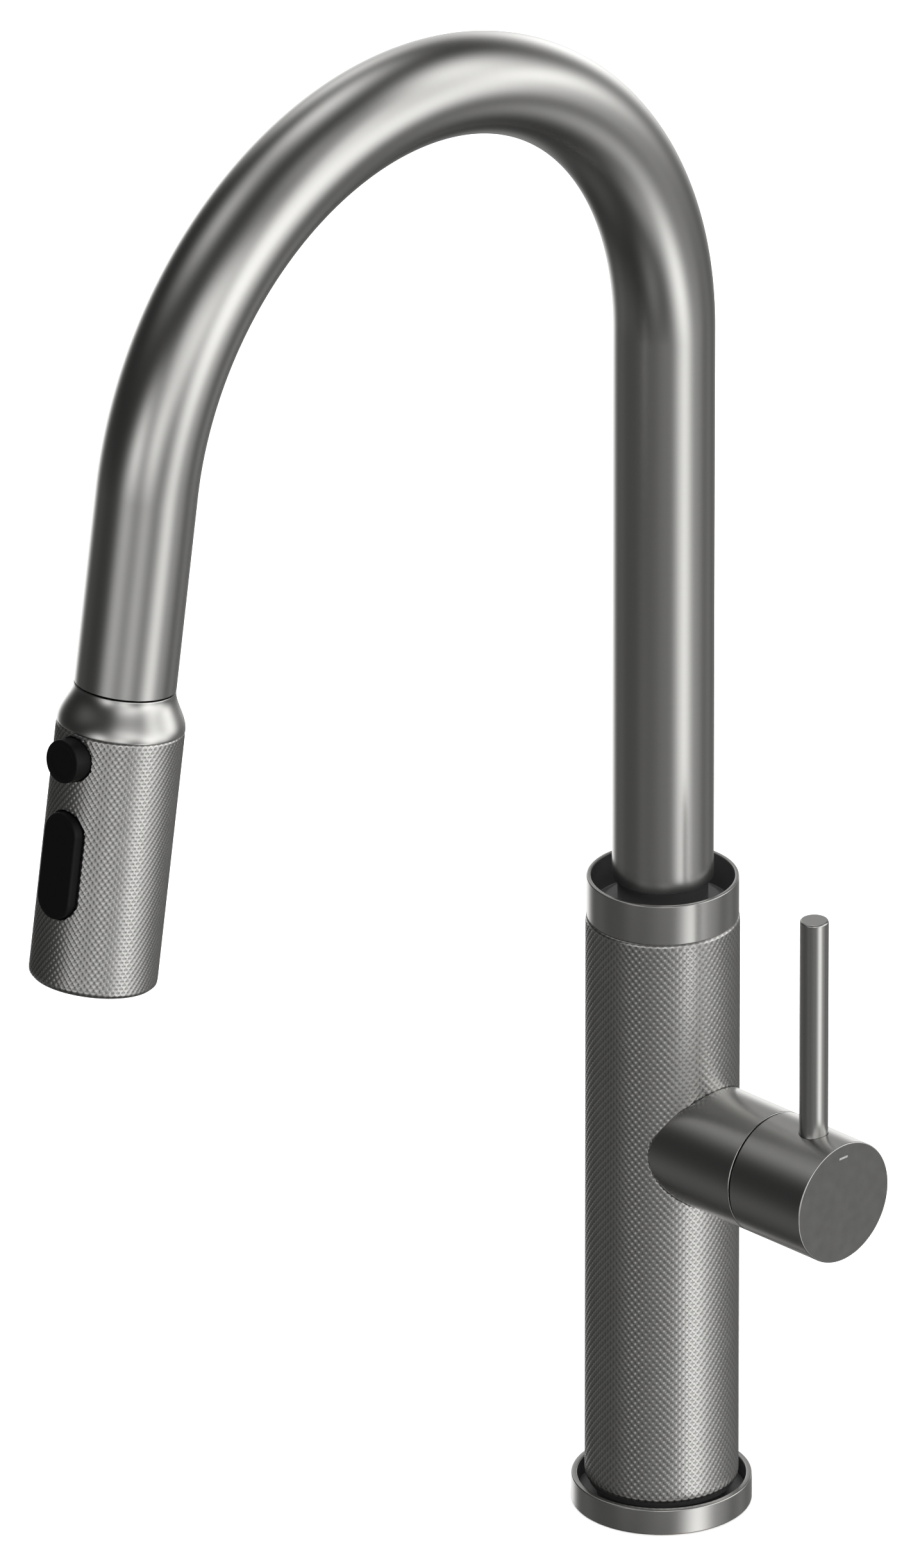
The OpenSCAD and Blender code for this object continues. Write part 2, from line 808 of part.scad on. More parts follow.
module mode_button() color("#0e0e0f")
    on_button(mode_drop)
        difference() {
            translate([0, 0, mode_back])
                linear_extrude(head_r + mode_proud - mode_back)
                    slot_shape(mode_w / 2, mode_len);
            for (side = [-1, 1])
                translate([side * (lug_x0 + lug_t / 2), 0, mode_back])
                    cube([lug_t + 2 * slip, 6.4, 2 * (lug_reach - mode_back + 0.6)], center = true);
            translate([0, 0, pivot_back])
                rotate([0, 90, 0])
                    bar(pin_r + 0.02, -pin_len / 2, pin_len / 2);
        }

module rocker_pin() color("#a8a9ab")
    on_button(mode_drop)
        translate([0, 0, pivot_back])
            rotate([0, 90, 0])
                bar(pin_r, -pin_len / 2 + fit, pin_len / 2 - fit);

module diverter_spool() color("#b08d4a")
    on_button(mode_drop - spool_up)
        rotate_extrude()
            polygon([
                [0, -8], [spool_r, -8], [spool_r, -6.6], [spool_r - 0.8, -6.6], [spool_r - 0.8, -5.4],
                [spool_r, -5.4], [spool_r, -3.5], [1.4, -3.5], [1.4, 3.5], [spool_r, 3.5],
                [spool_r, 5.4], [spool_r - 0.8, 5.4], [spool_r - 0.8, 6.6], [spool_r, 6.6],
                [spool_r, way_r - 0.8], [2, way_r], [2, mode_back - spool_gap], [0, mode_back - spool_gap]
            ]);

module spool_o_rings() color("#1d1d1e")
    for (y = [-6, 6])
        on_button(mode_drop - spool_up)
            o_ring(spool_r - 0.4, 0.38, y);

// Handle

module handle_cap() color("#7c7d7d")
    difference() {
        on_handle()
            difference() {
                edged_tube(handle_r, 0, cap_x0, cap_x1, edge);
                tube(handle_r - cap_wall, boss_r, boss_x0, cap_x1 - cap_end_t);
                bar(handle_r - cap_wall, cap_x0 - eps, boss_x0);
                bar(stem_r + 0.02, boss_x0 - eps, stem_x1);
            }
        translate([rod_x, 0, handle_z])
            bar(rod_r + 0.02, rod_seat, handle_r + eps);
        translate([grub_x, 0, handle_z]) {
            bar(grub_r + 0.02, -boss_r - eps, 0);
            bar(grub_r + 0.3, -handle_r - eps, -boss_r - eps);
        }
        translate([cap_x1 - mark_size.x, -mark_size.y / 2, handle_z + mark_up - mark_size.z / 2])
            cube([1, mark_size.y, mark_size.z]);
    }

module lever_rod() color("#8a8b8c")
    translate([rod_x, 0, handle_z])
        rotate_extrude()
            polygon([
                [0, rod_seat + fit], [rod_r, rod_seat + fit],
                [rod_r, rod_rise - 0.5], [rod_r - 0.5, rod_rise], [0, rod_rise]
            ]);

module cartridge_stem() color("#b08d4a")
    on_handle()
        rotate_extrude()
            polygon([
                [0, carrier_x0], [disc_r - 0.6, carrier_x0], [disc_r - 0.6, carrier_x0 + carrier_t],
                [stem_r, carrier_x0 + carrier_t],
                [stem_r, lid_x0 + 0.9], [stem_r - 0.8, lid_x0 + 0.9],
                [stem_r - 0.8, lid_x0 + 2.1], [stem_r, lid_x0 + 2.1],
                [stem_r, stem_x1 - fit], [0, stem_x1 - fit]
            ]);

module moving_disc() color("#eceae4")
    on_handle()
        difference() {
            bar(disc_r - 0.8, moving_x0, moving_x0 + moving_t);
            translate([outlet_down - 2, 0, moving_x0 - eps])
                cylinder(r = 4.2, h = 1.5 + eps);
        }

module stem_o_ring() color("#1d1d1e")
    on_handle()
        o_ring(stem_r - 0.4, 0.37, lid_x0 + 1.5);

module grub_screw() color("#a8a9ab")
    translate([grub_x, 0, handle_z])
        bar(grub_r, -boss_r + 0.2, -stem_r - face_gap);

module screw_cover() color("#77787a")
    translate([grub_x, 0, handle_z])
        bar(grub_r + 0.3 - face_gap, -handle_r + 0.2, -handle_r + cap_wall);

module index_mark() color("#c9cacb")
    translate([cap_x1 - mark_size.x, -mark_size.y / 2, handle_z + mark_up - mark_size.z / 2])
        cube(mark_size);

deck_gasket();
base_ring();
valve_body();
body_sleeve();
top_collar();
mounting_shank();
rubber_washer();
steel_washer();
mounting_nut();
jack_screws();
cartridge_housing();
cartridge_shell();
cartridge_base();
port_seals();
fixed_disc();
cartridge_nut();
lower_hose();
hose_tail();
spout_tube();
spout_neck();
neck_o_rings();
bearing_rings();
thrust_ring();
spout_clip();
docking_bush();
spray_hose();
hose_ferrule();
hose_stem();
inlet_o_ring();
head_collar();
head_grip();
waterway();
stem_clip();
check_valve();
pause_spring();
diffuser();
nozzle_plate();
spray_nozzles();
aerator();
plate_seal();
pause_button();
pause_plunger();
mode_button();
rocker_pin();
diverter_spool();
spool_o_rings();
handle_cap();
lever_rod();
cartridge_stem();
moving_disc();
stem_o_ring();
grub_screw();
screw_cover();
index_mark();
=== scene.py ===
import json
import math
import bpy
import numpy as np
from mathutils import Matrix, Vector


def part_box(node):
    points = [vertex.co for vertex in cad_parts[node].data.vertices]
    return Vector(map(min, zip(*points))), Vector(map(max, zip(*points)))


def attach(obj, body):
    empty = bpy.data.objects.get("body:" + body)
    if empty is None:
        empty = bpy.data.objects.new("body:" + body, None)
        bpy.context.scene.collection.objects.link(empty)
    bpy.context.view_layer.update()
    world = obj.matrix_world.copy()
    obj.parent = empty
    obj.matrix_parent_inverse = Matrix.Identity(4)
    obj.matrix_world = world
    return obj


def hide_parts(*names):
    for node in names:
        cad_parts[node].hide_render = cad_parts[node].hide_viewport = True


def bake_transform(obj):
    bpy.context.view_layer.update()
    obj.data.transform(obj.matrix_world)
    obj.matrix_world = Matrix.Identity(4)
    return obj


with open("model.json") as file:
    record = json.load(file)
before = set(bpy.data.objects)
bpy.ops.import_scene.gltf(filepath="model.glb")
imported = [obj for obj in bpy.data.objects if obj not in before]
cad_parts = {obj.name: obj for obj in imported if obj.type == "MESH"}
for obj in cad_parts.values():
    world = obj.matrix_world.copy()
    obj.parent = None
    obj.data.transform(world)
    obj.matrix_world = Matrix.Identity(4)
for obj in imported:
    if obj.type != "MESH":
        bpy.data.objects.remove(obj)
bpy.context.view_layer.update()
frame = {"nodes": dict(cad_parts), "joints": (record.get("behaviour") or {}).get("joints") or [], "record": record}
bpy.ops.object.select_all(action="DESELECT")
MM = 0.001

# Camera: a long lens far away on the lever's side, looking down at the faucet from in front,
# so that upright edges stay parallel.
camera_azimuth = math.radians(45.0)
camera_elevation = math.radians(25.2)
camera_distance = 11.8
picture_height = 430.2 * MM
aim = Vector((-39.4, -39.4, 217.4)) * MM
to_camera = Vector((
    math.sin(camera_azimuth) * math.cos(camera_elevation),
    -math.cos(camera_azimuth) * math.cos(camera_elevation),
    math.sin(camera_elevation),
))
bpy.ops.object.camera_add(location=aim + camera_distance * to_camera)
camera = bpy.context.object
camera.rotation_euler = to_camera.to_track_quat("Z", "Y").to_euler()
camera.data.lens = camera.data.sensor_width * camera_distance / picture_height
camera.data.clip_end = 100.0
bpy.context.scene.camera = camera
bpy.context.scene.view_settings.view_transform = "Standard"


# Shader maths: a Num is a number that a node makes, and it takes part in plain arithmetic.
class Num:
    def __init__(self, tree, socket):
        self.tree = tree
        self.socket = socket

    def step(self, operation, *values):
        made = self.tree.nodes.new("ShaderNodeMath")
        made.operation = operation
        for slot, value in zip(made.inputs, values):
            if isinstance(value, Num):
                self.tree.links.new(value.socket, slot)
            else:
                slot.default_value = value
        return Num(self.tree, made.outputs[0])

    def __add__(self, other):
        return self.step("ADD", self, other)

    def __radd__(self, other):
        return self.step("ADD", other, self)

    def __sub__(self, other):
        return self.step("SUBTRACT", self, other)

    def __rsub__(self, other):
        return self.step("SUBTRACT", other, self)

    def __mul__(self, other):
        return self.step("MULTIPLY", self, other)

    def __rmul__(self, other):
        return self.step("MULTIPLY", other, self)

    def __truediv__(self, other):
        return self.step("DIVIDE", self, other)

    def sin(self):
        return self.step("SINE", self)

    def most(self, other):
        return self.step("MAXIMUM", self, other)

    def least(self, other):
        return self.step("MINIMUM", self, other)

    def eased(self, low, high):
        """0 below low, 1 above high, and a smooth step between."""
        share = ((self - low) / (high - low)).most(0.0).least(1.0)
        return share * share * (3.0 - 2.0 * share)


# The nodes of one material or of the studio: node() makes any node and gives its output.
class Recipe:
    def __init__(self, tree):
        self.tree = tree
        tree.nodes.clear()

    def node(self, kind, settings=(), sockets=(), out=0):
        made = self.tree.nodes.new("ShaderNode" + kind)
        for key, value in dict(settings).items():
            setattr(made, key, value)
        for key, value in dict(sockets).items():
            if isinstance(value, Num):
                self.tree.links.new(value.socket, made.inputs[key])
            else:
                made.inputs[key].default_value = value
        return Num(self.tree, made.outputs[out]) if made.outputs else None


# Studio: soft round lamps all round in a dim room, which light the faucet and show in its finish. The
# camera sees a pale backdrop instead. Each lamp has its bearing to the right of the camera, its height
# above level and its spread, in degrees, and its strength.
lamps = [
    (-120, -75, 11, 0.08), (-111, -30, 11, 0.14), (-77, -30, 11, 0.08), (-149, -15, 11, 0.20),
    (0, 0, 11, 0.60), (150, 0, 11, 0.35), (55, 15, 11, 0.27), (70, 15, 11, 0.56),
    (102, 15, 11, 0.09), (-95, 45, 11, 0.23), (-90, 60, 11, 0.67), (32, -56, 8.5, 0.42),
    (-180, -44, 8.5, 0.31), (-16, -44, 8.5, 0.28), (82, -44, 8.5, 0.59), (36, -32, 8.5, 0.94),
    (50, -32, 8.5, 1.77), (122, -32, 8.5, 0.29), (151, -32, 8.5, 0.14), (-167, -20, 8.5, 1.09),
    (-154, -20, 8.5, 0.97), (-168, -8, 8.5, 0.79), (-48, -8, 8.5, 0.47), (-24, -8, 8.5, 0.19),
    (0, -8, 8.5, 0.22), (12, -8, 8.5, 0.22), (48, -8, 8.5, 0.46), (60, -8, 8.5, 1.14),
    (84, -8, 8.5, 1.14), (168, -8, 8.5, 1.17), (-36, 4, 8.5, 1.48), (0, 4, 8.5, 0.78),
    (48, 4, 8.5, 1.27), (72, 4, 8.5, 1.00), (96, 4, 8.5, 0.85), (108, 4, 8.5, 1.42),
    (120, 4, 8.5, 0.41), (156, 4, 8.5, 0.85), (168, 4, 8.5, 0.87), (-168, 16, 8.5, 1.04),
    (-19, 16, 8.5, 0.21), (19, 16, 8.5, 0.87), (31, 16, 8.5, 0.53), (43, 16, 8.5, 0.19),
    (56, 16, 8.5, 0.27), (93, 16, 8.5, 0.33), (-166, 28, 8.5, 0.43), (0, 28, 8.5, 0.78),
    (14, 28, 8.5, 0.51), (28, 28, 8.5, 0.36), (69, 28, 8.5, 0.86), (97, 28, 8.5, 0.98),
    (111, 28, 8.5, 0.56), (102, 40, 8.5, 0.79), (117, 40, 8.5, 0.53), (-180, 52, 8.5, 0.51),
    (40, 52, 8.5, 0.18), (60, 52, 8.5, 0.32), (-180, 64, 8.5, 0.61), (-152, 64, 8.5, 0.77),
    (-180, 76, 8.5, 0.45),
]
studio = bpy.data.worlds.new("studio")
bpy.context.scene.world = studio
studio.use_nodes = True
dome = Recipe(studio.node_tree)
look = dome.node("TexCoord", out=0)
room = 0.033
for bearing, level, spread, strength in lamps:
    heading = math.radians(bearing - 90.0) + camera_azimuth
    level = math.radians(level)
    flat = math.cos(level)
    towards = (math.cos(heading) * flat, math.sin(heading) * flat, math.sin(level))
    sharp = 1.0 / math.radians(spread) ** 2
    facing = dome.node("VectorMath", {"operation": "DOT_PRODUCT"}, {0: look, 1: towards}, out=1)
    glow = sharp * facing - sharp
    room = glow.step("EXPONENT", glow) * strength + room
lamp_colour = (1.0, 0.995, 0.985, 1.0)
lit = dome.node("Background", sockets={"Color": lamp_colour, "Strength": room})
backdrop = dome.node("Background", sockets={"Color": (0.93, 0.93, 0.93, 1.0), "Strength": 1.0})
seen = dome.node("LightPath", out=0)
mixed = dome.node("MixShader", sockets={0: seen, 1: lit, 2: backdrop})
dome.node("OutputWorld", sockets={"Surface": mixed})

# Floor: a plain pale tabletop at the height of the deck face, lit from above and kept out of the metal.
floor_size = 14.0
bpy.ops.mesh.primitive_plane_add(size=floor_size)
floor = bpy.context.object
floor.name = "floor"
floor.visible_glossy = False
floor.visible_shadow = False
tabletop = bpy.data.materials.new("tabletop")
tabletop.use_nodes = True
recipe = Recipe(tabletop.node_tree)
pale = recipe.node("BsdfDiffuse", sockets={"Color": (0.9, 0.9, 0.9, 1.0)})
recipe.node("OutputMaterial", sockets={"Surface": pale})
floor.data.materials.append(tabletop)
bpy.ops.object.light_add(type="AREA", location=(0.0, 0.0, 6.0))
overhead = bpy.context.object
overhead.data.shape = "DISK"
overhead.data.size = 9.0
overhead.data.energy = 900.0
overhead.visible_glossy = False
overhead.visible_camera = False

# Base ring: a flat cup turned from stainless steel, dark and satin, that stands on the worktop. The
# fine lines of the finish run round it, as they do on every round piece of the faucet.
stainless = bpy.data.materials.new("brushed_gunmetal")
stainless.use_nodes = True
recipe = Recipe(stainless.node_tree)
around = recipe.node("Attribute", {"attribute_name": "turned"}, out=1)
lines = recipe.node("Mapping", sockets={"Vector": around, "Scale": (25.0, 25.0, 3200.0)})
fine = recipe.node("TexNoise", sockets={
    "Vector": lines, "Scale": 1.0, "Detail": 3.0, "Roughness": 0.6})
bands = recipe.node("Mapping", sockets={"Vector": around, "Scale": (8.0, 8.0, 500.0)})
broad = recipe.node("TexNoise", sockets={
    "Vector": bands, "Scale": 1.0, "Detail": 2.0, "Roughness": 0.5})
shade = 0.975 + 0.03 * fine + 0.02 * broad
tint = recipe.node("CombineColor", sockets={0: 0.532 * shade, 1: 0.530 * shade, 2: 0.520 * shade})
metal = recipe.node("BsdfPrincipled", sockets={
    "Base Color": tint, "Metallic": 1.0, "Roughness": 0.265 + 0.01 * fine,
})
recipe.node("OutputMaterial", sockets={"Surface": metal})


def turned(name, outline, sides=128, solid=False):
    """A turned piece: a ring runs along an outline of corners, each a (radius, height) in mm."""
    bpy.ops.object.select_all(action="DESELECT")
    radius, level = outline[0]
    fill = "NGON" if solid else "NOTHING"
    bpy.ops.mesh.primitive_circle_add(
        vertices=sides, radius=radius * MM, fill_type=fill, location=(0, 0, level * MM))
    piece = bpy.context.object
    piece.name = name
    bpy.ops.object.transform_apply(location=True)
    bpy.ops.object.mode_set(mode="EDIT")
    bpy.ops.mesh.select_mode(type="EDGE")
    bpy.ops.mesh.select_all(action="SELECT")
    for far_radius, far_level in outline[1:] + ([] if solid else outline[:1]):
        bpy.ops.mesh.extrude_edges_move(
            TRANSFORM_OT_translate={"value": (0, 0, (far_level - level) * MM)})
        grow = far_radius / radius
        bpy.ops.transform.resize(value=(grow, grow, 1), center_override=(0, 0, far_level * MM))
        radius, level = far_radius, far_level
    if solid:
        bpy.ops.mesh.edge_face_add()
    bpy.ops.mesh.select_all(action="SELECT")
    bpy.ops.mesh.remove_doubles(threshold=0.000001)
    bpy.ops.mesh.normals_make_consistent(inside=False)
    bpy.ops.object.mode_set(mode="OBJECT")
    return piece


def rounded(piece, width, segments=3, limit=40.0):
    """Rounds the piece's sharp edges."""
    edges = piece.modifiers.new("edges", "BEVEL")
    edges.width = width * MM
    edges.segments = segments
    edges.limit_method = "ANGLE"
    edges.angle_limit = math.radians(limit)
    bpy.context.view_layer.objects.active = piece
    bpy.ops.object.modifier_apply(modifier="edges")
    return piece


def cut(piece, cutter):
    """Takes the cutter out of the piece."""
    hole = piece.modifiers.new("hole", "BOOLEAN")
    hole.object = cutter
    hole.solver = "EXACT"
    bpy.context.view_layer.objects.active = piece
    bpy.ops.object.modifier_apply(modifier="hole")
    bpy.data.objects.remove(cutter)
    return piece


def finished(piece, place, material, smooth=32.0):
    """Records where the finish's lines run, sets the piece in its place and gives it its finish."""
    lay = piece.data.attributes.new("turned", "FLOAT_VECTOR", "POINT")
    points = np.empty(len(piece.data.vertices) * 3, dtype=np.float32)
    piece.data.vertices.foreach_get("co", points)
    lay.data.foreach_set("vector", points)
    bpy.ops.object.select_all(action="DESELECT")
    piece.select_set(True)
    bpy.context.view_layer.objects.active = piece
    piece.matrix_world = place
    bpy.ops.object.transform_apply(location=True, rotation=True, scale=True)
    bpy.ops.object.shade_smooth_by_angle(angle=math.radians(smooth))
    if smooth < 90.0:
        flat = piece.modifiers.new("flat", "WEIGHTED_NORMAL")
        flat.keep_sharp = True
        bpy.ops.object.modifier_apply(modifier="flat")
    piece.data.materials.clear()
    piece.data.materials.append(material)
    return piece


def fitted(piece, body, slot, *nodes):
    """Ties the piece to its body and hides the CAD nodes that it stands for. The slot is not used."""
    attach(piece, body)
    if nodes:
        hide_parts(*nodes)
    return piece


def span(node, axis):
    """Where a CAD node starts and ends along an axis, in millimetres."""
    low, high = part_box(node)
    return low[axis] / MM, high[axis] / MM


def plain(name, colour, roughness, metallic=0.0, wear=0.0, size=300.0):
    """A plain finish with a little unevenness."""
    material = bpy.data.materials.new(name)
    material.use_nodes = True
    made = Recipe(material.node_tree)
    spot = made.node("TexCoord", out=3)
    uneven = made.node("TexNoise", sockets={"Vector": spot, "Scale": size, "Detail": 3.0})
    level = (1.0 - wear) + 2 * wear * uneven
    mixed_colour = made.node("CombineColor", sockets={
        0: colour[0] * level, 1: colour[1] * level, 2: colour[2] * level})
    surface = made.node("BsdfPrincipled", sockets={
        "Base Color": mixed_colour, "Metallic": metallic, "Roughness": roughness + 0.1 * uneven})
    made.node("OutputMaterial", sockets={"Surface": surface})
    return material


def painted_recess_shade(piece, inside, above):
    """The wall that faces the axis, and the floor inside it, take the dark material as painted shade for the
    recess.
    """
    piece.data.materials.append(dark_steel_and_painted_shade)
    for face in piece.data.polygons:
        middle = face.center / MM
        if math.hypot(middle.x, middle.y) < inside and middle.z > above:
            face.material_index = 1
    return piece


# Dark turned steel for the spout's neck. The same material is also put on the faces of recesses as painted shade.
dark_steel_and_painted_shade = plain("dark_turned_steel_and_painted_shade", (0.12, 0.12, 0.121), 0.34, 0.4, 0.06)
upright = Matrix.Identity(4)
base_radius = span("base_ring", 0)[1]
base_top = span("base_ring", 2)[1]
shank_radius = span("mounting_shank", 0)[1]
base_bore = shank_radius + 0.3
base_rim, base_floor = 1.7, 2.2
groove_inner, groove_outer, groove_depth = 19.8, 22.6, 1.2
base = turned("base_ring_turned", [
    (base_bore, 0), (groove_inner, 0), (groove_inner, groove_depth), (groove_outer, groove_depth),
    (groove_outer, 0), (base_radius, 0), (base_radius, base_top), (base_radius - base_rim, base_top),
    (base_radius - base_rim, base_floor), (base_bore, base_floor),
], sides=160)
rounded(base, 0.35)
finished(base, upright, stainless)
# Painted shade: the inner wall and floor of the cup take the dark material.
painted_recess_shade(base, base_radius - base_rim + 0.1, 1.5)
fitted(base, "column", "brushed_gunmetal", "base_ring")


# Column sleeve: a tube with a cut diamond knurl, raised ridges that cross at a slant with pits between them,
# whose colour is darkened as painted shade. Its height runs through the real relief, and small plain chamfers
# close it off.
knurled = bpy.data.materials.new("knurled_gunmetal")
knurled.use_nodes = True
recipe = Recipe(knurled.node_tree)
ridge = recipe.node("Attribute", {"attribute_name": "ridge"}, out=2)
around = recipe.node("Attribute", {"attribute_name": "turned"}, out=1)
worn = recipe.node("TexNoise", sockets={"Vector": around, "Scale": 180.0, "Detail": 3.0})
# Painted shade: the colour darkens from the ridge tops down into the pits, on top of a random worn tone.
shade = (0.52 + 0.48 * ridge.eased(0.0, 0.75)) * (0.92 + 0.16 * worn)
tint = recipe.node("CombineColor", sockets={0: 0.600 * shade, 1: 0.597 * shade, 2: 0.587 * shade})
metal = recipe.node("BsdfPrincipled", sockets={
    "Base Color": tint, "Metallic": 1.0, "Roughness": 0.36 - 0.06 * ridge,
})
recipe.node("OutputMaterial", sockets={"Surface": metal})


def knurled_tube(name, radius, bore, low, high, around, rows, depth, low_edge, high_edge):
    """A tube knurled outside. around and rows count the diamonds; the edges are chamfers."""
    steps = 4 * around
    levels = 4 * rows
    turn = np.arange(steps)
    heights = np.zeros((levels + 1, steps))
    for row in range(levels + 1):
        first, second = (turn - row) % 4, (turn + row) % 4
        on_ridge = (first == 0) | (second == 0)
        heights[row] = np.where(on_ridge, 1.0, np.where((first % 2) == 1, 0.22, 0.0))
    angle = turn * (2 * math.pi / steps)
    rings = []
    tops = []

    def ring(ring_radius, level, height):
        rings.append(np.stack([
            np.cos(angle) * ring_radius, np.sin(angle) * ring_radius, np.full(steps, level)], axis=1))
        tops.append(np.broadcast_to(height, (steps,)))

    ring(np.full(steps, bore), low, 0.6)
    ring(np.full(steps, radius - low_edge - depth / 2), low, 0.6)
    for row in range(levels + 1):
        share = row / levels
        fade = min(1.0, 0.3 + row / 3, 0.3 + (levels - row) / 3)
        level = low + low_edge + (high - low - low_edge - high_edge) * share
        ring(radius - depth * (1 - heights[row]) * fade - (1 - fade) * depth * 0.5, level, heights[row])
    ring(np.full(steps, radius - high_edge - depth / 2), high, 0.6)
    ring(np.full(steps, bore), high, 0.6)
    count = len(rings)
    faces = []
    for row in range(count):
        after = (row + 1) % count
        inside = row - 2
        for column in range(steps):
            following = (column + 1) % steps
            a, b = row * steps + column, row * steps + following
            c, d = after * steps + following, after * steps + column
            if not 0 <= inside < levels:
                faces.append((a, b, c, d))
            elif (column - inside) % 4 == 0 or (column - inside) % 4 == 2:
                faces.append((a, b, c))
                faces.append((a, c, d))
            else:
                faces.append((a, b, d))
                faces.append((b, c, d))
    mesh = bpy.data.meshes.new(name)
    mesh.from_pydata((np.concatenate(rings) * MM).tolist(), [], faces)
    lay = mesh.attributes.new("ridge", "FLOAT", "POINT")
    lay.data.foreach_set("value", np.concatenate(tops).astype(np.float32))
    piece = bpy.data.objects.new(name, mesh)
    bpy.context.collection.objects.link(piece)
    bpy.ops.object.select_all(action="DESELECT")
    piece.select_set(True)
    bpy.context.view_layer.objects.active = piece
    bpy.ops.object.mode_set(mode="EDIT")
    bpy.ops.mesh.select_all(action="SELECT")
    bpy.ops.mesh.normals_make_consistent(inside=False)
    bpy.ops.object.mode_set(mode="OBJECT")
    return piece


sleeve_radius = span("body_sleeve", 1)[1]
sleeve_low, sleeve_high = span("body_sleeve", 2)
housing_low, housing_high = span("cartridge_housing", 2)
handle_height = (housing_low + housing_high) / 2
handle_radius = (housing_high - housing_low) / 2
along_x = Matrix.Translation((0, 0, handle_height * MM)) @ Matrix.Rotation(math.pi / 2, 4, "Y")
sleeve_wall = 2.7
sleeve = knurled_tube(
    "column_sleeve_knurled", sleeve_radius, sleeve_radius - sleeve_wall, sleeve_low, sleeve_high,
    around=66, rows=75, depth=0.3, low_edge=0.4, high_edge=0.4)
drill = turned("drill", [(handle_radius + 0.1, 0), (handle_radius + 0.1, 40)], sides=160, solid=True)
drill.data.transform(along_x)
cut(sleeve, drill)
finished(sleeve, upright, knurled, smooth=180.0)
fitted(sleeve, "column", "knurled_gunmetal", "body_sleeve")


# Top collar: a plain band over the sleeve. Its rim stands up round a well whose inner wall and floor are
# painted dark as shade, and the spout's neck turns in the middle of it.
collar_radius = span("top_collar", 0)[1]
collar_low, collar_high = span("top_collar", 2)
collar_bore, well_floor, rim = 16.6, 180.2, 1.2
collar = turned("top_collar_turned", [
    (collar_bore, collar_low), (collar_radius, collar_low), (collar_radius, collar_high),
    (collar_radius - rim, collar_high), (collar_radius - rim, well_floor), (collar_bore, well_floor),
], sides=160)
rounded(collar, 0.3)
finished(collar, upright, stainless)
# Painted shade: the rim's inner wall and the well floor take the dark material.
painted_recess_shade(collar, collar_radius - rim + 0.1, collar_low + 0.5)
fitted(collar, "column", "brushed_gunmetal", "top_collar")


# Cartridge housing: the fixed half of the handle's barrel, a short tube that comes out of the sleeve.
housing_start, housing_end = span("cartridge_housing", 0)
housing_bore = 13.0
housing = turned("cartridge_housing_turned", [
    (housing_bore, housing_start), (handle_radius, housing_start),
    (handle_radius, housing_end), (housing_bore, housing_end),
], sides=160)
rounded(housing, 0.3)
finished(housing, along_x, stainless)
fitted(housing, "column", "brushed_gunmetal", "cartridge_housing")


# Handle cap: the half that turns. It is a cup with a boss inside for the cartridge's stem, a seat on
# top for the lever, a set screw's hole underneath and a short engraved mark on its flat end, which is
# faced to a darker satin.
cap_start, cap_end = span("handle_cap", 0)
rod_low, rod_high = span("lever_rod", 0)
rod_x = (rod_low + rod_high) / 2
rod_radius = (rod_high - rod_low) / 2
mark_low, mark_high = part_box("index_mark")
stem_bore, stem_depth = 5.02, 53.05
boss_radius, boss_start = 10, 45.05
cap_inner, cap_floor = handle_radius - 2.2, 62
cap = turned("handle_cap_turned", [
    (stem_bore, stem_depth), (stem_bore, boss_start), (boss_radius, boss_start),
    (boss_radius, cap_floor), (cap_inner, cap_floor), (cap_inner, cap_start),
    (handle_radius, cap_start), (handle_radius, cap_end),
], sides=160, solid=True)
rounded(cap, 0.3)
screw_low, screw_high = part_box("screw_cover")
seat = turned("seat", [(rod_radius + 0.12, 5), (rod_radius + 0.12, 30)], sides=64, solid=True)
seat.data.transform(along_x.inverted() @ Matrix.Translation((rod_x * MM, 0, handle_height * MM)))
cut(cap, seat)
screw_hole = turned("screw_hole", [(2.32, -30), (2.32, -10.5)], sides=48, solid=True)
screw_hole.data.transform(
    along_x.inverted() @ Matrix.Translation(((screw_low.x + screw_high.x) / 2, 0, handle_height * MM)))
cut(cap, screw_hole)
bpy.ops.mesh.primitive_cube_add(size=1.0)
groove = bpy.context.object
overshoot = Vector((0.001, 0, 0))
groove_place = Matrix.Translation((mark_low + mark_high + overshoot) / 2)
groove_size = Matrix.Diagonal((mark_high - mark_low + overshoot).to_4d())
groove.data.transform(along_x.inverted() @ groove_place @ groove_size)
cut(cap, groove)
finished(cap, along_x, stainless)
cap.data.materials.append(plain("faced_end", (0.285, 0.284, 0.280), 0.30, 1.0, 0.02))
for face in cap.data.polygons:
    if face.normal.x > 0.99 and face.center.x > (cap_end - 0.1) * MM:
        face.material_index = 1
fitted(cap, "handle", "brushed_gunmetal", "handle_cap")


# Lever: a plain round rod, slightly rounded at the top, pressed into the cap.
rod_bottom, rod_top = span("lever_rod", 2)
lever = turned(
    "lever_rod_turned", [(rod_radius, rod_bottom), (rod_radius, rod_top)], sides=96, solid=True)
rounded(lever, 0.5, segments=4)
finished(lever, Matrix.Translation((rod_x * MM, 0, 0)), stainless)
fitted(lever, "handle", "brushed_gunmetal", "lever_rod")


# Spout: one thin tube bent to a high arc, upright at the neck and leaning out a little at its end. The
# brush lines run round it, so the lay is measured along its centre line.
head_joint = [joint for joint in frame["joints"] if joint["name"] == "head_turn"][0]
seam = Vector(head_joint["pos_m"])
outward = Vector(head_joint["axis"]).normalized()
lean = math.atan2(-outward.y, -outward.z)
at_head = Matrix.Translation(seam) @ Matrix.Rotation(-lean, 4, "X")
tube_radius = span("spout_tube", 0)[1]
tube_low, tube_high = span("spout_tube", 2)
spout_wall = 1.2
bend_angle = math.pi - lean
spout_end = 55.3
bend_radius = (-seam.y / MM - spout_end * math.sin(lean)) / (1 + math.cos(lean))
bend_level = tube_high - tube_radius - bend_radius


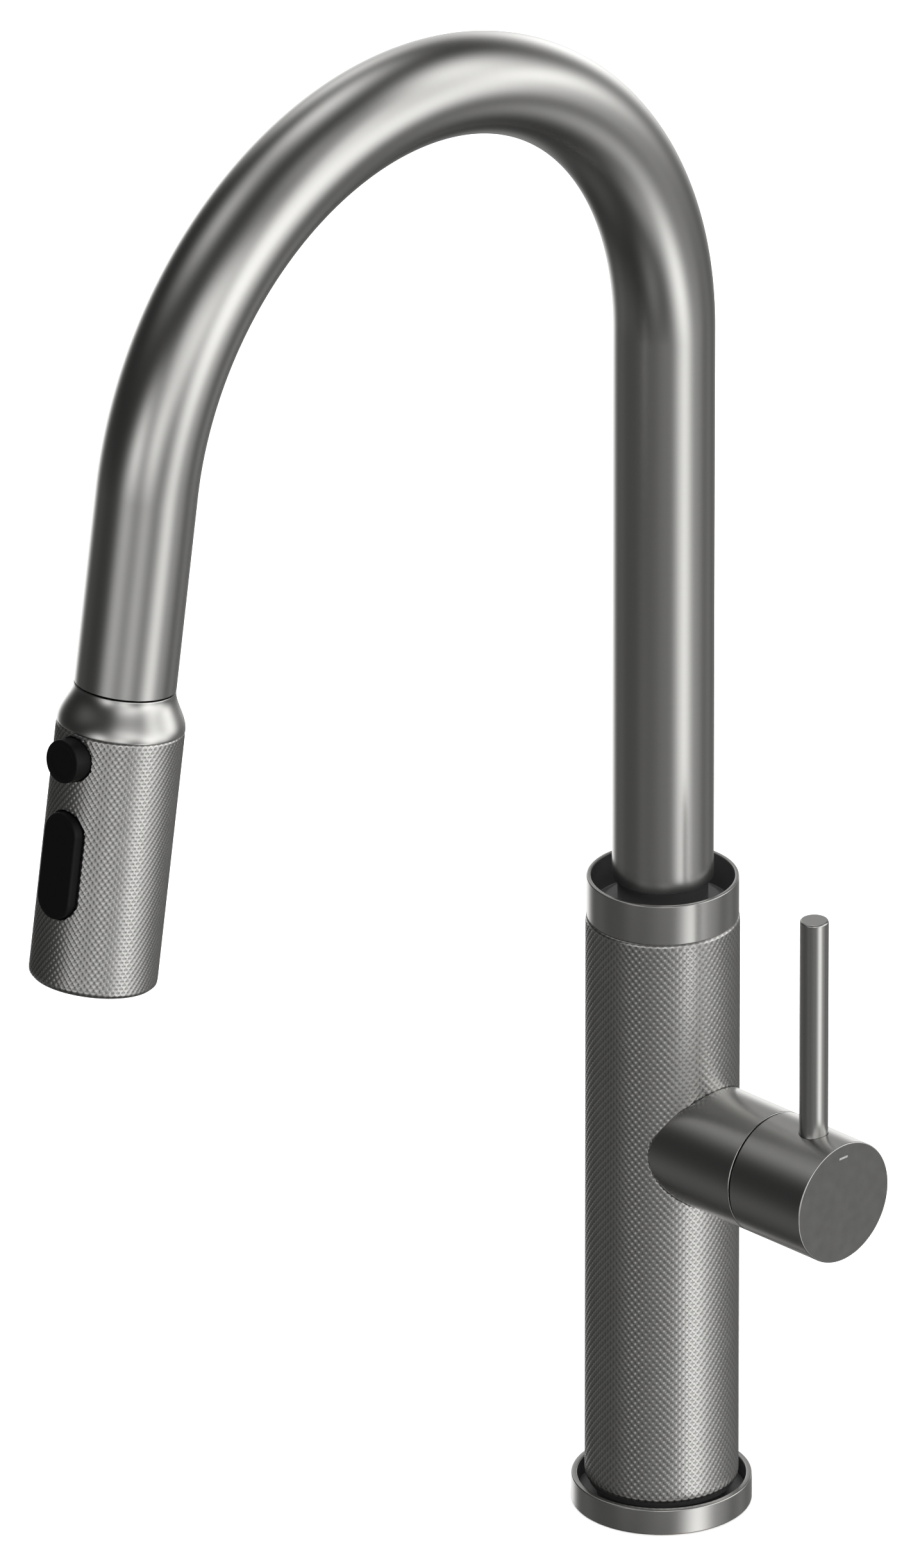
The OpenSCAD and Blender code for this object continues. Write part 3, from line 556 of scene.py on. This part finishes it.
def swept(name, radius, low, end_above_seam, sides, end_steps):
    """A round skin along the spout's centre line: extruded up, spun round the bend, extruded on."""
    bpy.ops.object.select_all(action="DESELECT")
    bpy.ops.mesh.primitive_circle_add(vertices=sides, radius=radius * MM, location=(0, 0, low * MM))
    piece = bpy.context.object
    piece.name = name
    bpy.ops.object.transform_apply(location=True)
    bpy.ops.object.mode_set(mode="EDIT")
    bpy.ops.mesh.select_mode(type="EDGE")
    bpy.ops.mesh.select_all(action="SELECT")
    bpy.ops.mesh.extrude_edges_move(TRANSFORM_OT_translate={"value": (0, 0, (bend_level - low) * MM)})
    centre = (0, -bend_radius * MM, bend_level * MM)
    bpy.ops.mesh.spin(steps=144, angle=bend_angle, center=centre, axis=(-1, 0, 0))
    step = outward * ((spout_end - end_above_seam) * MM / end_steps)
    for count in range(end_steps):
        bpy.ops.mesh.extrude_edges_move(TRANSFORM_OT_translate={"value": step})
    bpy.ops.object.mode_set(mode="OBJECT")
    return piece


def lay_along(piece):
    """Straightens the bend: each point's place round the tube and its way along the centre line."""
    points = np.empty(len(piece.data.vertices) * 3, dtype=np.float32)
    piece.data.vertices.foreach_get("co", points)
    points = points.reshape(-1, 3)
    back = points[:, 1] + bend_radius * MM
    rise = points[:, 2] - bend_level * MM
    angle = np.arctan2(rise, back)
    straight = rise < 0
    past_bend = np.where(angle < -1.0, angle + 2 * math.pi, angle)
    turned_by = np.clip(np.where(straight & (back > 0), 0.0, past_bend), 0.0, bend_angle)
    mid_y = -bend_radius * MM * (1 - np.cos(turned_by))
    mid_z = bend_level * MM + bend_radius * MM * np.sin(turned_by)
    ahead_y, ahead_z = -np.sin(turned_by), np.cos(turned_by)
    off_y, off_z = points[:, 1] - mid_y, points[:, 2] - mid_z
    beyond = off_y * ahead_y + off_z * ahead_z
    side = off_y * np.cos(turned_by) + off_z * np.sin(turned_by)
    lay = np.stack([points[:, 0], side, bend_radius * MM * turned_by + beyond], axis=1)
    piece.data.attributes["turned"].data.foreach_set("vector", lay.astype(np.float32).ravel())


spout = swept("spout_tube_bent", tube_radius, tube_low, 0.0, sides=112, end_steps=4)
wall = spout.modifiers.new("wall", "SOLIDIFY")
wall.thickness = spout_wall * MM
wall.offset = -1.0
bpy.ops.object.modifier_apply(modifier="wall")
bpy.ops.object.mode_set(mode="EDIT")
bpy.ops.mesh.select_all(action="SELECT")
bpy.ops.mesh.normals_make_consistent(inside=False)
bpy.ops.object.mode_set(mode="OBJECT")
rounded(spout, 0.12, segments=2, limit=60.0)
finished(spout, upright, stainless)
lay_along(spout)
fitted(spout, "spout", "brushed_gunmetal", "spout_tube")


# Spray head's collar: the smooth flare from the tube's width out to the grip, hollow and then full.
grip_radius = span("head_grip", 0)[1]
flare_length, seam_gap = 11.3, 0.45
flare = []
for step in range(25):
    share = step / 24
    ease = share * share * (3 - 2 * share)
    width = tube_radius + (grip_radius - tube_radius) * ease
    flare.append((width, -seam_gap - (flare_length - seam_gap) * share))
shoulder = turned("head_collar_turned", flare + [
    (15.2, -flare_length), (15.2, -flare_length + 2), (11.8, -flare_length + 5), (11.8, -seam_gap),
], sides=160)
rounded(shoulder, 0.12, segments=2, limit=50.0)
finished(shoulder, at_head, stainless, smooth=40.0)
fitted(shoulder, "spray_head", "brushed_gunmetal", "head_collar")


# Spray head's grip: a knurled tube with a round hole and a slot in front for the two keys.
head_length = 84.7
pause_drop, pause_radius = 18.7, 6.0
mode_drop, mode_width, mode_length = 49.1, 12.1, 30.3


def towards_front(drop):
    """The place of something that looks out of the head's front, at a drop below the seam."""
    return Matrix.Translation((0, 0, -drop * MM)) @ Matrix.Rotation(math.pi / 2, 4, "X")


def long_key(name, half, long, low, high, steps=24):
    """A rounded slot shape that stands along y, extruded from low to high."""
    bpy.ops.object.select_all(action="DESELECT")
    bpy.ops.mesh.primitive_circle_add(
        vertices=4 * steps, radius=half * MM, fill_type="NGON", location=(0, 0, low * MM))
    piece = bpy.context.object
    piece.name = name
    bpy.ops.object.transform_apply(location=True)
    bpy.ops.object.mode_set(mode="EDIT")
    bpy.ops.mesh.select_mode(type="VERT")
    bpy.ops.mesh.select_all(action="SELECT")
    bpy.ops.mesh.bisect(plane_co=(0, 0, 0), plane_no=(0, 1, 0))
    bpy.ops.object.mode_set(mode="OBJECT")
    for vertex in piece.data.vertices:
        if abs(vertex.co.y) > 1e-7:
            vertex.co.y += math.copysign((long / 2 - half) * MM, vertex.co.y)
    bpy.ops.object.mode_set(mode="EDIT")
    bpy.ops.mesh.select_mode(type="FACE")
    bpy.ops.mesh.select_all(action="SELECT")
    bpy.ops.mesh.dissolve_limited(angle_limit=0.001)
    bpy.ops.mesh.select_all(action="SELECT")
    bpy.ops.mesh.extrude_region_move(TRANSFORM_OT_translate={"value": (0, 0, (high - low) * MM)})
    bpy.ops.mesh.select_all(action="SELECT")
    bpy.ops.mesh.normals_make_consistent(inside=False)
    bpy.ops.object.mode_set(mode="OBJECT")
    return piece


grip = knurled_tube(
    "head_grip_knurled", grip_radius, grip_radius - 1.6, -head_length, -flare_length - 0.05,
    around=64, rows=33, depth=0.36, low_edge=0.9, high_edge=0.35)
round_cutter = turned(
    "round_cutter", [(pause_radius + 0.2, 8), (pause_radius + 0.2, 30)], sides=64, solid=True)
round_cutter.data.transform(towards_front(pause_drop))
cut(grip, round_cutter)
slot_cutter = long_key("slot_cutter", mode_width / 2 + 0.4, mode_length + 0.8, 8, 30)
slot_cutter.data.transform(towards_front(mode_drop))
cut(grip, slot_cutter)
finished(grip, at_head, knurled, smooth=180.0)
fitted(grip, "spray_head", "knurled_gunmetal", "head_grip")


# Keys: two moulded black keys, a round one that pauses the water and a long one that rocks between
# the stream and the spray. The plastic is satin, with a very fine grain.
black = bpy.data.materials.new("black_plastic")
black.use_nodes = True
recipe = Recipe(black.node_tree)
place = recipe.node("TexCoord", out=3)
pores = recipe.node("TexNoise", sockets={"Vector": place, "Scale": 3000.0, "Detail": 2.0})
grain = recipe.node("Bump", sockets={"Strength": 0.15, "Distance": 0.00003, "Height": pores})
plastic = recipe.node("BsdfPrincipled", sockets={
    "Base Color": (0.002, 0.002, 0.002, 1.0), "Roughness": 0.42 + 0.08 * pores,
    "Specular IOR Level": 0.2, "Normal": grain,
})
recipe.node("OutputMaterial", sockets={"Surface": plastic})

flange_radius, flange_back, flange_front = 7.2, 13.3, 14.2
key_face = grip_radius + 4.1
pause = turned("pause_key_moulded", [
    (flange_radius, flange_back), (flange_radius, flange_front), (pause_radius, flange_front),
    (pause_radius, key_face), (pause_radius - 1.6, key_face), (pause_radius - 2.1, key_face - 0.25),
], sides=96, solid=True)
rounded(pause, 0.35, segments=3, limit=30.0)
finished(pause, at_head @ towards_front(pause_drop), black)
fitted(pause, "pause_key", "black_plastic", "pause_button")

mode_back, mode_front = grip_radius - 1.6, grip_radius + 1.7
mode = long_key("mode_key_moulded", mode_width / 2, mode_length, mode_back, mode_front)
rounded(mode, 0.6, segments=4, limit=40.0)
finished(mode, at_head @ towards_front(mode_drop), black)
fitted(mode, "mode_key", "black_plastic", "mode_button")


# Spray hose: a woven nylon braid over a rubber core. It runs through the whole spout in two lengths
# that meet at the top of the arch, and the second draws out after the spray head.
braid = bpy.data.materials.new("woven_braid")
braid.use_nodes = True
recipe = Recipe(braid.node_tree)
lay = recipe.node("Attribute", {"attribute_name": "turned"}, out=1)
lay_x = recipe.node("SeparateXYZ", sockets={0: lay}, out=0)
lay_y = recipe.node("SeparateXYZ", sockets={0: lay}, out=1)
lay_z = recipe.node("SeparateXYZ", sockets={0: lay}, out=2)
bearing = lay_x.step("ARCTAN2", lay_y, lay_x)
one_way = (bearing * 12.0 + lay_z * 3000.0).sin()
other_way = (bearing * 12.0 - lay_z * 3000.0).sin()
strands = one_way.most(other_way) * 0.5 + 0.5
weave = recipe.node("CombineColor", sockets={
    0: 0.05 + 0.09 * strands, 1: 0.05 + 0.09 * strands, 2: 0.055 + 0.095 * strands})
relief = recipe.node("Bump", sockets={"Strength": 0.5, "Distance": 0.0003, "Height": strands})
nylon = recipe.node("BsdfPrincipled", sockets={"Base Color": weave, "Roughness": 0.5, "Normal": relief})
recipe.node("OutputMaterial", sockets={"Surface": nylon})

hose_radius = span("spray_hose", 0)[1]
hose_low = span("spray_hose", 2)[0]
pull_out = 200.0
stretch_start, stretch_end = seam - outward * 55 * MM, seam - outward * 30 * MM
hose_stop = 20.0


def hose_length(name, keep_end):
    """The hose on one side of the top of the arch, closed at both its ends."""
    piece = swept(name, hose_radius, hose_low, hose_stop, sides=48, end_steps=24)
    bpy.ops.object.mode_set(mode="EDIT")
    bpy.ops.mesh.select_all(action="SELECT")
    bpy.ops.mesh.region_to_loop()
    bpy.ops.mesh.fill_holes(sides=0)
    bpy.ops.mesh.select_all(action="SELECT")
    bpy.ops.mesh.fill_holes(sides=0)
    bpy.ops.mesh.select_all(action="SELECT")
    bpy.ops.mesh.bisect(
        plane_co=(0, -bend_radius * MM, 0), plane_no=(0, 1, 0), use_fill=True,
        clear_inner=not keep_end, clear_outer=keep_end)
    bpy.ops.mesh.select_all(action="SELECT")
    bpy.ops.mesh.normals_make_consistent(inside=False)
    bpy.ops.object.mode_set(mode="OBJECT")
    finished(piece, upright, braid)
    lay_along(piece)
    return piece


hose = hose_length("spray_hose_inside", False)
fitted(hose, "spout", "braided_hose", "spray_hose")

# The end of the hose: the weave is laid as it is when the head is pulled right out.
hose_end = hose_length("spray_hose_end", True)
points = np.empty(len(hose_end.data.vertices) * 3, dtype=np.float32)
hose_end.data.vertices.foreach_get("co", points)
along = stretch_end - stretch_start
share = (points.reshape(-1, 3) - np.array(stretch_start)) @ np.array(along) / along.length_squared
share = np.clip(share, 0.0, 1.0)
lay = hose_end.data.attributes["turned"].data
laid = np.empty(len(points), dtype=np.float32)
lay.foreach_get("vector", laid)
laid[2::3] += pull_out * MM * share * share * (3 - 2 * share)
lay.foreach_set("vector", laid)
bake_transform(hose_end)


# Mounting shank: a brass tube under the deck with a fine screw thread and a plain lead-in at its end.
shank_low, shank_high = span("mounting_shank", 2)
shank_bore, lead_radius = 14.0, shank_radius - 0.6
thread_low, pitch, thread_depth = shank_low + 6.0, 2.0, 0.9
levels = int((shank_high - thread_low) / pitch * 6)
shank = turned("mounting_shank_threaded", [
    (shank_bore, shank_low), (lead_radius, shank_low), (lead_radius, thread_low),
] + [
    (shank_radius, thread_low + (shank_high - thread_low) * step / levels) for step in range(levels + 1)
] + [(shank_bore, shank_high)], sides=72)
for vertex in shank.data.vertices:
    reach = math.hypot(vertex.co.x, vertex.co.y)
    above = vertex.co.z / MM - thread_low
    if reach > (shank_radius - 0.1) * MM and 0.1 < above < shank_high - thread_low - 0.1:
        phase = (above / pitch - math.atan2(vertex.co.y, vertex.co.x) / (2 * math.pi)) % 1.0
        dip = thread_depth * abs(2 * phase - 1) * min(1.0, above / 3) * MM
        vertex.co.x *= (reach - dip) / reach
        vertex.co.y *= (reach - dip) / reach
brass = plain("machined_brass", (0.78, 0.58, 0.30), 0.22, 1.0, 0.06)
finished(shank, upright, brass)
fitted(shank, "column", "brass", "mounting_shank")


# Inner parts: the valve, the cartridge, the swivel's rings, the clamping set and the head's insides
# keep their machined or moulded shapes. Each takes the finish that its slot in the record names.
finishes = {
    "brushed_gunmetal": stainless,
    "knurled_gunmetal": knurled,
    "black_plastic": black,
    "braided_hose": braid,
    "dark_neck": dark_steel_and_painted_shade,
    "brass": brass,
    "steel": plain("plain_steel", (0.62, 0.62, 0.63), 0.25, 1.0, 0.05),
    "rubber": plain("black_rubber", (0.015, 0.015, 0.015), 0.6, 0.0, 0.2),
    "ceramic": plain("white_ceramic", (0.82, 0.81, 0.77), 0.12, 0.0, 0.02),
    "white_plastic": plain("white_moulding", (0.78, 0.77, 0.72), 0.4, 0.0, 0.03),
    "grey_plastic": plain("grey_moulding", (0.055, 0.056, 0.06), 0.4, 0.0, 0.1),
    "cap_cover": plain("painted_cover", (0.22, 0.22, 0.22), 0.4, 0.3, 0.05),
    "mark": plain("light_inlay", (0.32, 0.32, 0.31), 0.45, 0.0, 0.03),
}
slots = {part["node"]: part["material_slot"] for part in frame["record"]["subparts"]}
for node, cad_object in frame["nodes"].items():
    cad_object.data.materials.clear()
    cad_object.data.materials.append(finishes[slots[node]])
